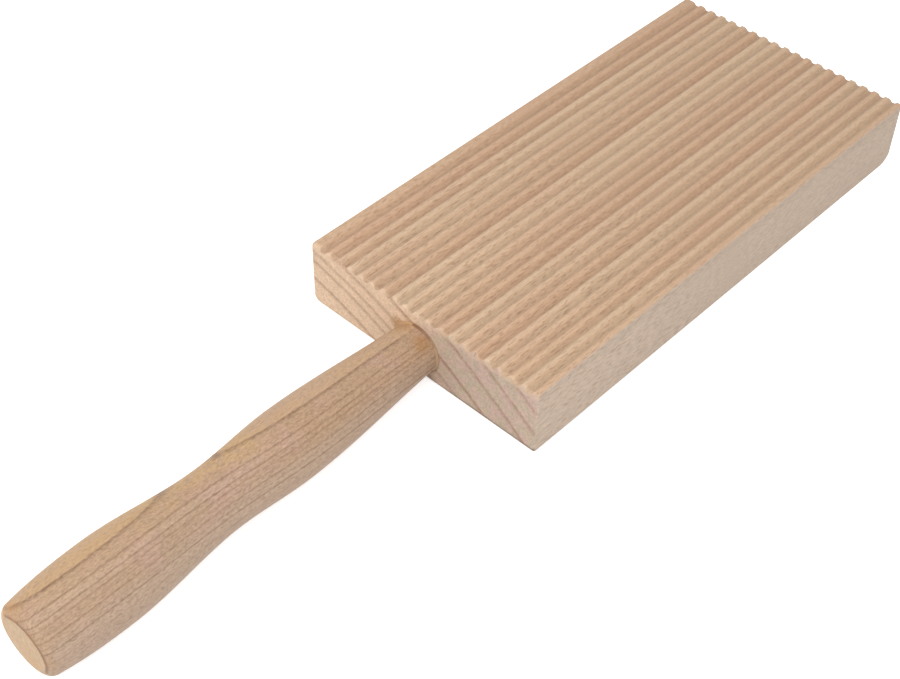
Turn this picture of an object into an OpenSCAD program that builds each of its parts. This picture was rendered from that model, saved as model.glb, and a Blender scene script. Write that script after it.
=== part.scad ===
// Ribbed board for rolling small dumplings, with a turned handle glued into one end.
// All sizes are in millimetres. X runs along the board, away from the handle, Y runs across it,
// and Z is up. The origin is the centre of the board's flat underside.

/* [Board] */
// Length of the board, without the handle
board_l = 133; // [100:1:180]
// Width of the board
board_w = 65; // [50:1:90]
// Thickness of the board, up to the crests of the ribs
board_t = 17; // [15.5:0.5:24]

/* [Ribs] */
// Spacing of the ribs across the board
rib_pitch = 3.27; // [2.5:0.01:4.5]
// Depth of the valleys below the crests
rib_depth = 1; // [0.6:0.05:1.2]
// Share of the pitch that the round crests take, the rest being the round valleys'
crest_share = 0.5; // [0.35:0.05:0.7]
// Width of the plain land between the left side face and the first valley
land_w = 3.7; // [2.5:0.1:6]

/* [Eased edges] */
// Radius of the long edge under the part rib
under_edge_r = 0.3; // [0.2:0.1:1.5]
// Radius of the long edge under the plain land
land_under_r = 1.5; // [0.2:0.1:2]
// Radius of the long edge beside the plain land
land_edge_r = 0.9; // [0.3:0.1:1.5]
// Radius of the long edge beside the part rib
rib_edge_r = 0.5; // [0.3:0.1:1]
// Radius where the ribs run out at the handle end
near_top_r = 1; // [0.3:0.1:1.5]
// Radius where the ribs run out at the far end
far_top_r = 0.6; // [0.3:0.1:1.5]
// Radius of the bottom edge at the handle end
near_bottom_r = 0.8; // [0.3:0.1:1]
// Radius of the bottom edge at the far end, which is propped on the worktop in use
far_bottom_r = 4; // [1:0.5:5]
// Radius of the four upright edges
upright_edge_r = 0.7; // [0.3:0.1:3]

/* [Handle] */
// Length of the handle outside the board
handle_l = 101.5; // [92:0.5:130]
// Height of the handle's axis above the underside
handle_z = 7.7; // [7.3:0.1:8.3]
// How far the bore, drilled by hand, is off the board's middle towards the plain land
handle_off = 0.4; // [0:0.1:1]
// Angle by which the bore, and so the handle's butt, is off the board's length, away from the land
handle_lean = 1; // [0:0.1:2]
// Radius of the neck, where it meets the board
neck_r = 5.9; // [5.6:0.1:6]
// Angle at which the neck widens away from the board
neck_flare = 3; // [0:0.5:5]
// Radius of the finger swell
swell_r = 8.1; // [7:0.1:9]
// Distance of the finger swell from the board
swell_at = 37; // [25:1:44]
// Radius of the waist
waist_r = 7.1; // [6:0.1:8]
// Distance of the waist from the board
waist_at = 56.5; // [50:0.5:65]
// Radius of the palm swell
palm_r = 9; // [8:0.1:11]
// Distance of the palm swell from the board
palm_at = 82.5; // [72:0.5:86]
// Angle at which the handle tapers into the butt
butt_taper = 9; // [4:1:14]
// Radius of the rounding round the butt
butt_round_r = 2.1; // [1:0.1:2.5]
// Radius of the butt's flat face
butt_flat_r = 5.8; // [4.5:0.1:6.5]

/* [Glued joint] */
// Radius of the handle's tenon
tenon_r = 5; // [4:0.1:5.2]
// Length of the handle's tenon
tenon_l = 25; // [15:1:40]
// Width of the bevel round the tenon's tip
tenon_bevel = 0.8; // [0.3:0.1:1.5]
// Thickness of the glue round the tenon and under the shoulder
glue_film = 0.12; // [0.1:0.01:0.25]
// Depth of the glue past the tenon's tip
glue_pool = 1; // [0.5:0.1:3]
// Width of the line of squeezed-out glue round the neck
glue_bead = 0.3; // [0.2:0.1:0.4]

/* [Hidden] */

// Smoothness of round surfaces
round_fn = 96;
// Longest straight step along the handle's curve, and angle of each step round the butt
curve_step = 1.5;
arc_step = 9;
// How far a cutting shape reaches past the face that it cuts
over = 1;

// Number of straight steps across one rib and one valley
rib_steps = 16;

// Crests and valleys are arcs that pass into each other without a kink
wave_r = (pow(rib_pitch / 2, 2) + pow(rib_depth, 2)) / (2 * rib_depth);
crest_r = crest_share * wave_r;
valley_r = wave_r - crest_r;
first_crest_y = board_w / 2 - land_w + rib_pitch / 2;
rib_step = rib_pitch / rib_steps;
rib_line_steps = ceil((first_crest_y + board_w / 2) / rib_step) - 1;

bore_r = tenon_r + glue_film;
bore_l = tenon_l + glue_pool;
// The leaning shoulder stands off the board by the film of glue where it is closest
shoulder_gap = glue_film + neck_r * sin(handle_lean);

// Where the handle's curve passes into the rounding of the butt, without a kink
butt_start_at = handle_l - butt_round_r * (1 - sin(butt_taper));
butt_start_r = butt_flat_r + butt_round_r * cos(butt_taper);

// Stations of the handle's curve: distance from the board, radius, and slope of the surface
STATIONS = [
    [shoulder_gap, neck_r, tan(neck_flare)],
    [swell_at, swell_r, 0],
    [waist_at, waist_r, 0],
    [palm_at, palm_r, 0],
    [butt_start_at, butt_start_r, -tan(butt_taper)],
];

// Radius at the share u of the way from station a to station b, by a cubic with both slopes
function cubic(a, b, u) =
    a[1] * (1 + 2 * u) * pow(1 - u, 2) + b[1] * pow(u, 2) * (3 - 2 * u)
    + (b[0] - a[0]) * (a[2] * u * pow(1 - u, 2) - b[2] * pow(u, 2) * (1 - u));

// Points of the curve from station a up to, but not including, station b
function stretch(a, b) =
    let (steps = ceil((b[0] - a[0]) / curve_step))
    [for (i = [0 : steps - 1]) [cubic(a, b, i / steps), a[0] + (b[0] - a[0]) * i / steps]];

handle_curve = [for (i = [0 : len(STATIONS) - 2]) each stretch(STATIONS[i], STATIONS[i + 1])];
butt_curve = [
    for (angle = [90 - butt_taper : -arc_step : 0])
        [butt_flat_r + butt_round_r * sin(angle), handle_l - butt_round_r * (1 - cos(angle))]
];

// Height of the ribbed surface at a distance across from the nearest crest
function rib_height(from_crest) =
    from_crest <= crest_share * rib_pitch / 2
        ? board_t - crest_r + sqrt(pow(crest_r, 2) - pow(from_crest, 2))
        : board_t - rib_depth + valley_r
            - sqrt(pow(valley_r, 2) - pow(rib_pitch / 2 - from_crest, 2));

// Point of the ribbed surface at the height Y across the board
function rib_point(y) =
    let (ribs = (first_crest_y - y) / rib_pitch)
    [y, rib_height(rib_pitch * abs(ribs - round(ribs)))];

rib_line = [
    for (i = [0 : rib_line_steps]) rib_point(first_crest_y - i * rib_step),
    rib_point(-board_w / 2)
];

// What is cut off to round the corner at the origin of a shape that lies up and to the right
module corner_waste(r) {
    difference() {
        translate([-over, -over]) square(r + over);
        translate([r, r]) circle(r = r, $fn = round_fn);
    }
}

// Rectangle from (x0, 0) to (x1, h), with a radius for each corner
module eased_rectangle(x0, x1, h, low_left, low_right, high_right, high_left) {
    difference() {
        translate([x0, 0]) square([x1 - x0, h]);
        translate([x0, 0]) corner_waste(low_left);
        translate([x1, 0]) mirror([1, 0]) corner_waste(low_right);
        translate([x1, h]) rotate(180) corner_waste(high_right);
        translate([x0, h]) mirror([0, 1]) corner_waste(high_left);
    }
}

// The board seen from the end, looking along X, with the land at the high end of Y
module board_section() {
    intersection() {
        eased_rectangle(-board_w / 2, board_w / 2, board_t,
            under_edge_r, land_under_r, land_edge_r, rib_edge_r);
        polygon(concat(
            [[-board_w / 2, 0], [board_w / 2, 0], [board_w / 2, board_t]],
            rib_line
        ));
    }
}

// The board seen from the side, looking along Y
module board_side_view() {
    eased_rectangle(-board_l / 2, board_l / 2, board_t,
        near_bottom_r, far_bottom_r, far_top_r, near_top_r);
}

// The board seen from above
module board_plan() {
    translate([0, -board_w / 2])
        eased_rectangle(-board_l / 2, board_l / 2, board_w,
            upright_edge_r, upright_edge_r, upright_edge_r, upright_edge_r);
}

// Moves a shape that is turned about Z to the joint, with its Z pointing out of the board's end
module at_joint() {
    translate([-board_l / 2, handle_off, handle_z])
        rotate([0, 0, handle_lean]) rotate([0, -90, 0]) children();
}

// Half outline of the handle: radius, and distance out of the board's end
module handle_outline() {
    polygon(concat(
        [[0, -tenon_l], [tenon_r - tenon_bevel, -tenon_l], [tenon_r, tenon_bevel - tenon_l]],
        [[tenon_r, shoulder_gap]],
        handle_curve,
        butt_curve,
        [[butt_flat_r, handle_l], [0, handle_l]]
    ));
}

module ribbed_board() {
    color([0.84, 0.72, 0.57])
    difference() {
        intersection() {
            translate([-board_l / 2, 0, 0]) rotate([90, 0, 90])
                linear_extrude(board_l) board_section();
            translate([0, board_w / 2 + over, 0]) rotate([90, 0, 0])
                linear_extrude(board_w + 2 * over) board_side_view();
            translate([0, 0, -over]) linear_extrude(board_t + 2 * over) board_plan();
        }
        at_joint() translate([0, 0, -bore_l]) cylinder(r = bore_r, h = bore_l + over, $fn = round_fn);
    }
}

module handle() {
    color([0.72, 0.57, 0.42])
    at_joint() rotate_extrude($fn = round_fn) handle_outline();
}

// Keeps what lies inside the board's end face, where side is 1, or outside it, where side is -1
module beside_end_face(side) {
    reach = 2 * bore_l;
    intersection() {
        children();
        translate([-board_l / 2 + (side - 1) / 2 * reach, -reach / 2, handle_z - reach / 2])
            cube(reach);
    }
}

module glue_joint() {
    color([0.78, 0.56, 0.3])
    difference() {
        union() {
            beside_end_face(1)
                at_joint() translate([0, 0, -bore_l])
                    cylinder(r = bore_r, h = bore_l + over, $fn = round_fn);
            beside_end_face(-1)
                at_joint() rotate_extrude($fn = round_fn) polygon([
                    [0, -over], [neck_r + glue_bead, -over], [neck_r + glue_bead, 0],
                    [neck_r, shoulder_gap + glue_bead], [0, shoulder_gap + glue_bead]
                ]);
        }
        at_joint() rotate_extrude($fn = round_fn) handle_outline();
    }
}

ribbed_board();
handle();
glue_joint();
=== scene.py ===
"""Looks of the ribbed board and its turned handle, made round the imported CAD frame.

Lengths are in millimetres in the part's own frame: X runs along the board away from the handle,
Y runs across it, Z is up, and the origin is the centre of the board's flat underside. Meshes and
places are turned into metres where Blender gets them.
"""

import logging
import math
from collections.abc import Callable, Sequence
from dataclasses import dataclass, field
from enum import Enum

import bmesh
import bpy
from mathutils import Matrix, Vector, noise


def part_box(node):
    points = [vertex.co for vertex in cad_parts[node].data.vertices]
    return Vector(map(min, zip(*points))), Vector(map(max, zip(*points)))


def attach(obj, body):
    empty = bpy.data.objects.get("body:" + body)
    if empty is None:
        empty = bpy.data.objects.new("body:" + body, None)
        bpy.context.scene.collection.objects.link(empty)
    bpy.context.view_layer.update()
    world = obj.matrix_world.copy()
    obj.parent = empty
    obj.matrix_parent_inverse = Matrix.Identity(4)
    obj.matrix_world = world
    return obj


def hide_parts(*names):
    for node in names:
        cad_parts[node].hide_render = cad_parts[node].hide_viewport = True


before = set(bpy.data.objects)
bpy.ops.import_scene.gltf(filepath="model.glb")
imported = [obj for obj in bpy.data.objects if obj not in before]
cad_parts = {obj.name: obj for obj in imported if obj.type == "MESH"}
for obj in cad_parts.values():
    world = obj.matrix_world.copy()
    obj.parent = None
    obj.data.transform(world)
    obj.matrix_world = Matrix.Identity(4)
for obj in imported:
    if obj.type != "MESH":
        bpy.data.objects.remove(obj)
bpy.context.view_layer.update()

log = logging.getLogger("ribbed_board_scene")

METRE = 0.001

Point = tuple[float, float, float]
Station = tuple[float, float, float]
Outline = list[tuple[float, float]]
Stops = Sequence[tuple[float, float]]
Colour = tuple[float, float, float, float]
Socket = bpy.types.NodeSocket
Outputs = bpy.types.bpy_prop_collection
Ring = list[bmesh.types.BMVert]


def shade(red: int, green: int, blue: int) -> Colour:
    """Turns a colour as a screen shows it into the linear colour that a shader takes.

    Args:
        red: Red from 0 to 255.
        green: Green from 0 to 255.
        blue: Blue from 0 to 255.

    Returns:
        Red, green, blue and an alpha of 1.
    """
    def linear(value: int) -> float:
        """Linear strength of one channel."""
        share = value / 255
        return share / 12.92 if share <= 0.04045 else ((share + 0.055) / 1.055) ** 2.4

    return linear(red), linear(green), linear(blue), 1.0


def arc(centre: tuple[float, float], radius: float, start: float, end: float,
        steps: int) -> Outline:
    """Points along an arc in a plane.

    Args:
        centre: Centre of the arc.
        radius: Its radius.
        start: Angle of the first point, in degrees, from the first axis to the second.
        end: Angle of the last point.
        steps: Number of chords.

    Returns:
        The points, both ends included.
    """
    points = []
    for step in range(steps + 1):
        angle = math.radians(start + (end - start) * step / steps)
        points.append((centre[0] + radius * math.cos(angle), centre[1] + radius * math.sin(angle)))
    return points


def box_mm(node: str) -> tuple[Vector, Vector]:
    """Lowest and highest corner of a CAD node, in millimetres."""
    low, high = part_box(node)
    return low / METRE, high / METRE


class Kind(Enum):
    """Kinds of shader node that the finishes use."""

    PLACE = "ShaderNodeTexCoord"
    MATH = "ShaderNodeMath"
    VECTOR = "ShaderNodeVectorMath"
    SPLIT = "ShaderNodeSeparateXYZ"
    JOIN = "ShaderNodeCombineXYZ"
    NOISE = "ShaderNodeTexNoise"
    SPREAD = "ShaderNodeMapRange"
    RAMP = "ShaderNodeValToRGB"
    MIX = "ShaderNodeMix"
    BUMP = "ShaderNodeBump"
    GROUP = "ShaderNodeGroup"
    SURFACE_SHADER = "ShaderNodeBsdfPrincipled"
    LAMP_SHADER = "ShaderNodeEmission"
    ADD_SHADER = "ShaderNodeAddShader"
    LIGHT_PATH = "ShaderNodeLightPath"
    OUTPUT = "ShaderNodeOutputMaterial"


class Wiring:
    """Adds nodes to one shader tree and joins their sockets."""

    COLUMN = 190

    def __init__(self, tree: bpy.types.NodeTree) -> None:
        """Takes an empty tree."""
        self.tree = tree
        self.columns = 0

    def put(self, kind: Kind, inputs: dict | None = None, **settings: object) -> bpy.types.Node:
        """Adds one node.

        Args:
            kind: What node it is.
            inputs: What feeds its inputs, by name or number: another node's output, or a value.
            settings: The node's own properties.

        Returns:
            The node.
        """
        node = self.tree.nodes.new(kind.value)
        node.location = (self.COLUMN * self.columns, 0)
        self.columns += 1
        for name, value in settings.items():
            setattr(node, name, value)
        for name, source in (inputs or {}).items():
            self.feed(node.inputs[name], source)
        return node

    def feed(self, socket: Socket, source: object) -> None:
        """Gives a socket what feeds it.

        Args:
            socket: The socket.
            source: Another node's output, which is linked to it, or a value for the socket itself.
        """
        if isinstance(source, Socket):
            self.tree.links.new(source, socket)
        else:
            socket.default_value = source

    def calc(self, operation: str, *terms: object, clamp: bool = False) -> Socket:
        """Works out one number.

        Args:
            operation: Name of the Math node's operation.
            terms: Its one to three terms.
            clamp: Whether the result is kept from 0 to 1.

        Returns:
            The result.
        """
        node = self.put(Kind.MATH, dict(enumerate(terms)), operation=operation, use_clamp=clamp)
        return node.outputs[0]

    def product(self, *terms: object) -> object:
        """Multiplies numbers.

        Args:
            terms: One number or more.

        Returns:
            The product, or the one number itself.
        """
        result = terms[0]
        for term in terms[1:]:
            result = self.calc("MULTIPLY", result, term)
        return result

    def vector(self, operation: str, *terms: object) -> Socket:
        """Works out a vector from one vector or two."""
        return self.put(Kind.VECTOR, dict(enumerate(terms)), operation=operation).outputs["Vector"]

    def measure(self, operation: str, *terms: object) -> Socket:
        """Works out a number from one vector or two, such as their distance."""
        return self.put(Kind.VECTOR, dict(enumerate(terms)), operation=operation).outputs["Value"]

    def split(self, vector: Socket) -> list[Socket]:
        """The three parts of a vector."""
        return list(self.put(Kind.SPLIT, {0: vector}).outputs)

    def join(self, x: object, y: object, z: object) -> Socket:
        """A vector of three numbers."""
        return self.put(Kind.JOIN, {0: x, 1: y, 2: z}).outputs[0]

    def noise(self, vector: Socket, detail: float = 2, scale: object = 1.0,
              rough: float = 0.5) -> Socket:
        """Smooth random numbers round 0.5.

        Args:
            vector: Where they are looked up.
            detail: Number of finer layers.
            scale: Grains per unit of the vector.
            rough: Strength of each finer layer.

        Returns:
            The number.
        """
        node = self.put(Kind.NOISE, {"Vector": vector, "Scale": scale, "Detail": detail,
                                     "Roughness": rough})
        return node.outputs["Fac"]

    def smooth(self, value: object, start: object, end: object, low: object = 0.0,
               high: object = 1.0) -> Socket:
        """Goes smoothly from low to high as the value goes from start to end.

        Args:
            value: The number that is read.
            start: Where the change starts.
            end: Where it ends.
            low: Result before the change.
            high: Result after it.

        Returns:
            The result.
        """
        inputs = {"Value": value, "From Min": start, "From Max": end, "To Min": low, "To Max": high}
        node = self.put(Kind.SPREAD, inputs, interpolation_type="SMOOTHSTEP")
        return node.outputs["Result"]

    def blend(self, share: object, first: object, second: object, mode: str = "MIX") -> Socket:
        """Mixes two colours.

        Args:
            share: Share of the second colour.
            first: The colour underneath.
            second: The colour over it.
            mode: How they are mixed.

        Returns:
            The mixed colour.
        """
        node = self.put(Kind.MIX, data_type="RGBA", blend_type=mode)
        colours = [socket for socket in node.inputs if socket.type == "RGBA"]
        self.feed(node.inputs["Factor"], share)
        self.feed(colours[0], first)
        self.feed(colours[1], second)
        return [socket for socket in node.outputs if socket.type == "RGBA"][0]

    def ramp(self, value: object, stops: Stops, start: float, end: float) -> Socket:
        """Looks a number up on a line of stops.

        Args:
            value: The number that is looked up.
            stops: Pairs of a place and the result there, in order.
            start: Place of the line's start.
            end: Place of its end.

        Returns:
            The result.
        """
        share = self.put(Kind.SPREAD, {"Value": value, "From Min": start, "From Max": end})
        node = self.put(Kind.RAMP, {"Fac": share.outputs["Result"]})
        elements = node.color_ramp.elements
        elements.remove(elements[1])
        for number, (place, result) in enumerate(stops):
            position = (place - start) / (end - start)
            element = elements.new(position) if number else elements[0]
            element.position = position
            element.color = (result, result, result, 1)
        return node.outputs["Color"]

    def profile(self, value: object, stops: Stops) -> Socket:
        """Looks a number up on a line through stops whose results may be of any size.

        Args:
            value: The number that is looked up.
            stops: Pairs of a place and the result there, in order.

        Returns:
            The result.
        """
        low = min(result for _, result in stops)
        high = max(result for _, result in stops)
        shares = [(place, (result - low) / (high - low)) for place, result in stops]
        share = self.ramp(value, shares, stops[0][0], stops[-1][0])
        return self.calc("MULTIPLY_ADD", share, high - low, low)


class Effect:
    """A shader node group that several finishes place with their own values."""

    SOCKETS = {"number": "NodeSocketFloat", "vector": "NodeSocketVector"}

    def __init__(self, name: str, inputs: dict[str, str], *outputs: str) -> None:
        """Starts the group.

        Args:
            name: The group's name.
            inputs: Kind of each input, number or vector, by name.
            outputs: Names of the numbers that it puts out.
        """
        self.tree = bpy.data.node_groups.new(name, "ShaderNodeTree")
        for label, kind in inputs.items():
            self.tree.interface.new_socket(label, in_out="INPUT", socket_type=self.SOCKETS[kind])
        for label in outputs:
            self.tree.interface.new_socket(label, in_out="OUTPUT", socket_type="NodeSocketFloat")
        self.wire = Wiring(self.tree)
        self.given = self.tree.nodes.new("NodeGroupInput").outputs
        self.results = self.tree.nodes.new("NodeGroupOutput").inputs

    def place(self, wire: Wiring, **values: object) -> Outputs:
        """Puts the group into a tree.

        Args:
            wire: The tree's wiring.
            values: What feeds each input, with an underscore for each space in its name.

        Returns:
            The group's outputs.
        """
        node = wire.put(Kind.GROUP, node_tree=self.tree)
        for name, source in values.items():
            wire.feed(node.inputs[name.replace("_", " ")], source)
        return node.outputs


class WoodEffects:
    """The effects that make wood: rings, fibres, bands, flecks and stains, all in millimetres."""

    def __init__(self) -> None:
        """Builds each group once."""
        self.rings = self.ring_place()
        self.fibres = self.fibre_streaks()
        self.bands = self.growth_bands()
        self.flecks = self.short_flecks()
        self.stains = self.wiped_stain()

    @staticmethod
    def ring_place() -> Effect:
        """Where a point lies among the growth rings, which run along X round the pith.

        Returns:
            A group that puts out the distance from the pith, and the way round it.
        """
        sockets = {"Place": "vector", "Pith Y": "number", "Pith Z": "number", "Wander": "number"}
        effect = Effect("growth_ring_place", sockets, "Radius", "Sweep")
        wire = effect.wire
        given = effect.given
        _, y, z = wire.split(given["Place"])
        across = wire.calc("SUBTRACT", y, given["Pith Y"])
        up = wire.calc("SUBTRACT", z, given["Pith Z"])
        squares = wire.calc("ADD", wire.product(across, across), wire.product(up, up))
        length = wire.calc("SQRT", squares)
        drift_place = wire.vector("MULTIPLY", given["Place"], (0.012, 0.05, 0.05))
        drift = wire.calc("SUBTRACT", wire.noise(drift_place), 0.5)
        radius = wire.calc("MULTIPLY_ADD", drift, given["Wander"], length)
        wire.feed(effect.results["Radius"], radius)
        sweep = wire.product(wire.calc("ARCTAN2", across, up), length)
        wire.feed(effect.results["Sweep"], sweep)
        return effect

    @staticmethod
    def cell(effect: Effect) -> Socket:
        """The group's place, counted in lengths along the grain and in widths across it.

        Args:
            effect: A group with a place, a length and a width.

        Returns:
            The counted place.
        """
        wire = effect.wire
        given = effect.given
        size = wire.join(given["Length"], given["Width"], given["Width"])
        return wire.vector("DIVIDE", given["Place"], size)

    @classmethod
    def fibre_streaks(cls) -> Effect:
        """Fine light and dark streaks along the grain, or pores where it is cut across.

        Returns:
            A group that puts out the streaks, from about -1 to 1.
        """
        sockets = {"Place": "vector", "Length": "number", "Width": "number"}
        effect = Effect("fibre_streaks", sockets, "Streak")
        wire = effect.wire
        centred = wire.calc("SUBTRACT", wire.noise(cls.cell(effect), detail=3, rough=0.65), 0.5)
        wire.feed(effect.results["Streak"], wire.product(centred, 3.0))
        return effect

    @staticmethod
    def growth_bands() -> Effect:
        """Soft bands of growth that follow the rings, with no two alike.

        Returns:
            A group that puts out the bands, from about -1 to 1.
        """
        sockets = {"Place": "vector", "Radius": "number", "Sweep": "number", "Width": "number"}
        effect = Effect("growth_bands", sockets, "Band")
        wire = effect.wire
        given = effect.given
        x, _, _ = wire.split(given["Place"])
        seat = wire.join(wire.calc("DIVIDE", given["Radius"], given["Width"]),
                         wire.product(x, 0.012), wire.product(given["Sweep"], 0.04))
        centred = wire.calc("SUBTRACT", wire.noise(seat, rough=0.6), 0.5)
        wire.feed(effect.results["Band"], wire.product(centred, 3.0))
        return effect

    @classmethod
    def short_flecks(cls) -> Effect:
        """Short dark dashes where rays and pores come to the surface, as a mask from 0 to 1.

        Returns:
            A group that puts out the mask.
        """
        sockets = {"Place": "vector", "Length": "number", "Width": "number", "Rareness": "number"}
        effect = Effect("short_flecks", sockets, "Fleck")
        wire = effect.wire
        grains = wire.noise(cls.cell(effect), detail=1, rough=0.4)
        over = wire.calc("SUBTRACT", grains, effect.given["Rareness"])
        wire.feed(effect.results["Fleck"], wire.calc("MULTIPLY", over, 9.0, clamp=True))
        return effect

    @staticmethod
    def wiped_stain() -> Effect:
        """A mottled stain with an uneven edge, as a mask from 0 to 1.

        Returns:
            A group that takes the distance from the stain's middle, and puts out the mask.
        """
        sockets = {"Place": "vector", "Away": "number", "Grain": "number", "Wander": "number",
                   "Inner": "number", "Outer": "number", "Least": "number"}
        effect = Effect("wiped_stain", sockets, "Stain")
        wire = effect.wire
        given = effect.given
        wobble = wire.noise(given["Place"], detail=3, scale=given["Grain"], rough=0.7)
        shifted = wire.calc("MULTIPLY_ADD", wobble, given["Wander"], given["Away"])
        spread = wire.smooth(shifted, given["Inner"], given["Outer"], 1.0, 0.0)
        mottled = wire.smooth(wire.noise(given["Place"], scale=1.7), 0.36, 0.6, given["Least"], 1.0)
        wire.feed(effect.results["Stain"], wire.product(spread, mottled))
        return effect


class Coat(Wiring):
    """A material in the making: sockets that tell where a point is, and its colour so far."""

    PLAIN_GLOSS = 0.3
    ROUGH_SHARE = 0.04
    BUMP_DEPTH = 0.05

    def __init__(self, name: str, roughness: float, effects: WoodEffects) -> None:
        """Starts the material with one shader in it.

        Args:
            name: The material's name.
            roughness: The shader's roughness, round which the fibres may vary it.
            effects: The wood effects.
        """
        self.material = bpy.data.materials.new(name)
        self.material.use_nodes = True
        self.material.node_tree.nodes.clear()
        super().__init__(self.material.node_tree)
        self.roughness = roughness
        self.effects = effects
        self.colour: object = None
        self.shader = self.put(Kind.SURFACE_SHADER, {"Roughness": roughness,
                                                     "Specular IOR Level": self.PLAIN_GLOSS})
        self.put(Kind.OUTPUT, {"Surface": self.shader.outputs["BSDF"]})
        where = self.put(Kind.PLACE).outputs
        self.place = self.vector("MULTIPLY", where["Object"], (1 / METRE,) * 3)
        self.x, self.y, self.z = self.split(self.place)
        self.normal = where["Normal"]
        self.facing_x, self.facing_y, self.facing_z = self.split(self.normal)

    def lay(self, tone: object, *shares: object) -> None:
        """Lays a tone over the colour so far, by the product of some shares."""
        self.colour = self.blend(self.product(*shares), self.colour, tone)

    def tint(self, *shares: object) -> None:
        """Makes the colour so far lighter, or darker below zero, by the product of some shares."""
        change = self.calc("ADD", self.product(*shares), 1.0)
        self.colour = self.blend(1.0, self.colour, change, "MULTIPLY")

    def placed(self, effect: Effect, **values: object) -> Outputs:
        """Puts an effect into the material, at the place that its nodes colour."""
        return effect.place(self, Place=self.place, **values)

    def fibres(self, size: tuple[float, float]) -> Socket:
        """Streaks from about -1 to 1, of one length and width."""
        return self.placed(self.effects.fibres, Length=size[0], Width=size[1])["Streak"]

    def flecks(self, size: tuple[float, float], rareness: float) -> Socket:
        """Mask of flecks of one length and width."""
        return self.placed(self.effects.flecks, Length=size[0], Width=size[1],
                           Rareness=rareness)["Fleck"]

    def grains(self, per_mm: float, detail: float = 2, rough: float = 0.5) -> Socket:
        """Smooth random numbers round 0.5 over the surface, so many grains to a millimetre."""
        return self.noise(self.place, detail=detail, scale=per_mm, rough=rough)

    def off(self, spot: Point) -> Socket:
        """Distance from a spot in the part's frame."""
        return self.measure("DISTANCE", self.place, spot)

    def facing(self, way: Point) -> Socket:
        """How far the surface faces a way, from -1 to 1."""
        return self.measure("DOT_PRODUCT", self.normal, way)

    def finished(self, fibres: Socket, height: Socket, bump: float) -> bpy.types.Material:
        """Feeds the shader what the nodes worked out.

        Args:
            fibres: Streaks that vary the roughness a little.
            height: Height of the fine relief.
            bump: Strength of the relief.

        Returns:
            The material.
        """
        self.feed(self.shader.inputs["Base Color"], self.colour)
        rough = self.calc("MULTIPLY_ADD", fibres, self.ROUGH_SHARE, self.roughness)
        self.feed(self.shader.inputs["Roughness"], rough)
        relief = self.put(Kind.BUMP, {"Height": height, "Strength": bump,
                                      "Distance": self.BUMP_DEPTH * METRE})
        self.feed(self.shader.inputs["Normal"], relief.outputs["Normal"])
        return self.material


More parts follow.
